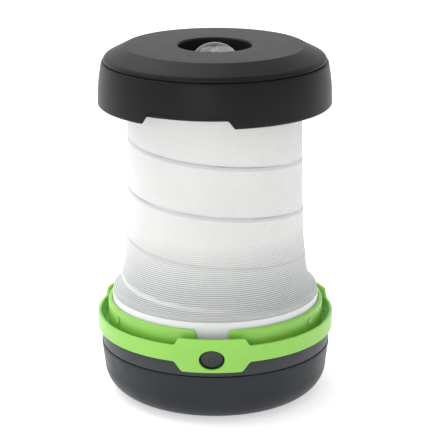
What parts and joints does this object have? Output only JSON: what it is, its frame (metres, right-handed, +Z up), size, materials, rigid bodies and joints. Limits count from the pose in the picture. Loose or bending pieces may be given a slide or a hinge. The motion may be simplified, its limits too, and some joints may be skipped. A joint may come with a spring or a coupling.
{
  "type": "collapsible camping lantern",
  "caption": "Collapsible camping lantern: a cloth shade stretched on a wire coil between a battery base and a cap that holds a torch.",
  "frame": {"origin": "centre of the base's flat underside, on the column's axis", "axes": "+Z up along the column; the power button and the handle's tab face -Y; +X to the viewer's right when looking at the button"},
  "size_m": [0.0992, 0.0979, 0.1482],
  "materials": {
    "charcoal_plastic": "fine spark-eroded texture",
    "green_plastic": "satin moulded",
    "frosted_plastic": "milky translucent",
    "white_plastic": "satin",
    "shade_fabric": "fine translucent weave",
    "spring_steel": "drawn wire",
    "zinc_steel": "plated",
    "lead_insulation": "soft vinyl",
    "clear_lens": "polished clear",
    "reflector_metal": "vacuum metallised",
    "black_plastic": "moulded",
    "led_package": "phosphor",
    "board_white": "white solder mask",
    "board_green": "green solder mask",
    "board_metal": "machined",
    "button_rubber": "moulded silicone",
    "cell_jacket": "printed film, plain"
  },
  "bodies": {
    "base": {"shade_cloth": "shade_fabric", "shade_wire": "spring_steel", "torch_lead": "lead_insulation", "foot_ring": "frosted_plastic", "collar": "green_plastic", "collar_screws": "zinc_steel", "light_plate": "white_plastic", "light_screws": "zinc_steel", "lantern_leds": "led_package", "led_board": "board_white", "main_board": "board_green", "board_parts": "black_plastic", "switch_body": "black_plastic", "base_housing": "charcoal_plastic", "base_cup": "charcoal_plastic", "base_screws": "zinc_steel", "handle_pins": "zinc_steel", "battery_tray": "black_plastic", "tray_screws": "zinc_steel", "aa_cells": "cell_jacket", "contact_springs": "zinc_steel", "contact_plates": "zinc_steel"},
    "shade_head": {"head_ring": "white_plastic", "head_clamp": "white_plastic"},
    "cap": {"cap_top": "charcoal_plastic", "cap_skirt": "charcoal_plastic", "cap_floor": "white_plastic", "cap_screws": "zinc_steel", "torch_lens": "clear_lens", "torch_reflector": "reflector_metal", "torch_led": "led_package", "torch_board": "board_metal", "torch_barrel": "black_plastic", "torch_screws": "zinc_steel"},
    "button": {"power_button": "button_rubber", "switch_plunger": "black_plastic"},
    "handle": {"handle": "green_plastic"},
    "battery_door": {"battery_door": "charcoal_plastic"}
  },
  "joints": [
    {"name": "cap_slide", "type": "slide", "parent": "base", "child": "shade_head", "axis": [0, 0, -1], "range_m": [0, 0.091], "stiffness_N_per_m": 55, "springref_m": -0.035, "deforming": ["shade_cloth", "shade_wire", "torch_lead"]},
    {"name": "cap_turn", "type": "hinge", "parent": "shade_head", "child": "cap", "pos_m": [0, 0, 0.13], "axis": [0, 0, 1], "range_deg": [0, 12.4]},
    {"name": "button_press", "type": "slide", "parent": "base", "child": "button", "axis": [0, 1, 0], "range_m": [0, 0.0006], "stiffness_N_per_m": 1500, "springref_m": -0.0005},
    {"name": "handle_lift", "type": "hinge", "parent": "base", "child": "handle", "pos_m": [0, 0.0193, 0.0303], "axis": [-1, 0, 0], "range_deg": [0, 26.5]},
    {"name": "door_open", "type": "hinge", "parent": "base", "child": "battery_door", "pos_m": [0, 0.0282, 0.0011], "axis": [1, 0, 0], "range_deg": [0, 75]}
  ]
}
